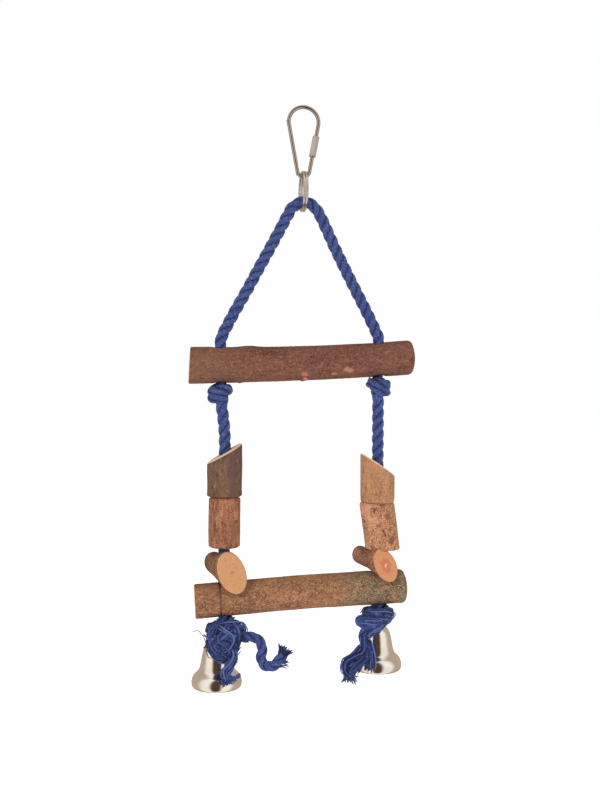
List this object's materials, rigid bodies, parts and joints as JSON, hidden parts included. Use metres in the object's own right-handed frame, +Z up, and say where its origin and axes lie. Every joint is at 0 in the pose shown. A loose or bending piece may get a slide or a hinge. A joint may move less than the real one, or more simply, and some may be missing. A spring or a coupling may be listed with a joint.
{
  "type": "bird toy",
  "caption": "Hanging bird toy with natural-wood perches, wooden beads and bells on blue cotton rope under a steel quick link.",
  "frame": {"origin": "inside top of the quick link, where the toy hangs on its hook or cage bar", "axes": "+Z up, +X along the perches to the side where they rise, -Y the front"},
  "size_m": [0.1403, 0.0461, 0.3613],
  "materials": {
    "link": "polished nickel plate on steel wire",
    "sleeve": "polished nickel plate, six-sided",
    "ring": "polished nickel plate on spring wire",
    "rope": "soft three-strand twisted cotton, frayed at the ends",
    "upper_wood": "natural branch with thin reddish-brown bark",
    "lower_wood": "natural branch with rough brown bark and lichen",
    "olive_bark": "smooth olive-brown bark, sawn ends",
    "red_bark": "fissured reddish bark, sawn ends",
    "tan_bark": "smooth tan bark, sawn ends",
    "spotted_bark": "tan bark with dark spots, sawn ends",
    "stub_wood": "brown bark with light sawn faces",
    "wire": "thin plain steel wire",
    "bell": "polished nickel plate on pressed steel",
    "clapper": "plain steel"
  },
  "bodies": {
    "link": {"quick_link": "link"},
    "sleeve": {"link_sleeve": "sleeve"},
    "ring": {"split_ring": "ring"},
    "upper": {"hanger_rope": "rope", "upper_knot_left": "rope", "upper_knot_right": "rope", "upper_perch": "upper_wood", "knot_wire": "wire"},
    "lower": {"left_rope": "rope", "right_rope": "rope", "left_tail": "rope", "right_tail": "rope", "lower_perch": "lower_wood", "bell_wire_left": "wire", "wire_ends_left": "wire", "bell_wire_right": "wire"},
    "slant_left": {"slant_bead_left": "olive_bark"},
    "bark_left": {"bark_bead_left": "red_bark"},
    "stub_left": {"cross_stub_left": "stub_wood"},
    "slant_right": {"slant_bead_right": "tan_bark"},
    "bark_right": {"bark_bead_right": "spotted_bark"},
    "stub_right": {"cross_stub_right": "stub_wood"},
    "bell_left": {"bell_left": "bell", "bell_eye_left": "wire"},
    "clapper_left": {"clapper_left": "clapper"},
    "bell_right": {"bell_right": "bell", "bell_eye_right": "wire"},
    "clapper_right": {"clapper_right": "clapper"}
  },
  "joints": [
    {"name": "sleeve_slide", "type": "slide", "parent": "link", "child": "sleeve", "axis": [-0.1827, 0, -0.9832], "range_m": [0, 0.008]},
    {"name": "ring_swing", "type": "hinge", "parent": "link", "child": "ring", "pos_m": [0, 0, -0.042], "axis": [1, 0, 0], "range_deg": [-60, 60]},
    {"name": "toy_swing", "type": "hinge", "parent": "ring", "child": "upper", "pos_m": [0, 0, -0.0629], "axis": [0, 1, 0], "range_deg": [-20, 20]},
    {"name": "perch_swing", "type": "hinge", "parent": "upper", "child": "lower", "pos_m": [0, 0, -0.18411], "axis": [0.999, 0, 0.0454], "range_deg": [-35, 35]},
    {"name": "slant_left_spin", "type": "hinge", "parent": "lower", "child": "slant_left", "pos_m": [-0.0478, 0, -0.24], "axis": [0, 0, 1], "continuous": true},
    {"name": "bark_left_spin", "type": "hinge", "parent": "lower", "child": "bark_left", "pos_m": [-0.0478, 0, -0.255], "axis": [0, 0, 1], "continuous": true},
    {"name": "slant_right_spin", "type": "hinge", "parent": "lower", "child": "slant_right", "pos_m": [0.048, 0, -0.23], "axis": [0, 0, 1], "continuous": true},
    {"name": "bark_right_spin", "type": "hinge", "parent": "lower", "child": "bark_right", "pos_m": [0.048, 0, -0.26], "axis": [0, 0, 1], "continuous": true},
    {"name": "stub_left_turn", "type": "hinge", "parent": "lower", "child": "stub_left", "pos_m": [-0.0478, 0, -0.282], "axis": [0, 0, 1], "range_deg": [-15, 15]},
    {"name": "stub_right_turn", "type": "hinge", "parent": "lower", "child": "stub_right", "pos_m": [0.048, 0, -0.281], "axis": [0, 0, 1], "range_deg": [-15, 15]},
    {"name": "bell_left_swing", "type": "hinge", "parent": "lower", "child": "bell_left", "pos_m": [-0.0514, 0.011, -0.32607], "axis": [0, 1, 0], "range_deg": [-25, 25]},
    {"name": "clapper_left_swing", "type": "hinge", "parent": "bell_left", "child": "clapper_left", "pos_m": [-0.0514, 0.011, -0.33532], "axis": [0, 1, 0], "range_deg": [-20, 20]},
    {"name": "bell_right_swing", "type": "hinge", "parent": "lower", "child": "bell_right", "pos_m": [0.0504, 0.011, -0.31825], "axis": [0, 1, 0], "range_deg": [-25, 25]},
    {"name": "clapper_right_swing", "type": "hinge", "parent": "bell_right", "child": "clapper_right", "pos_m": [0.0504, 0.011, -0.3275], "axis": [0, 1, 0], "range_deg": [-20, 20]}
  ]
}
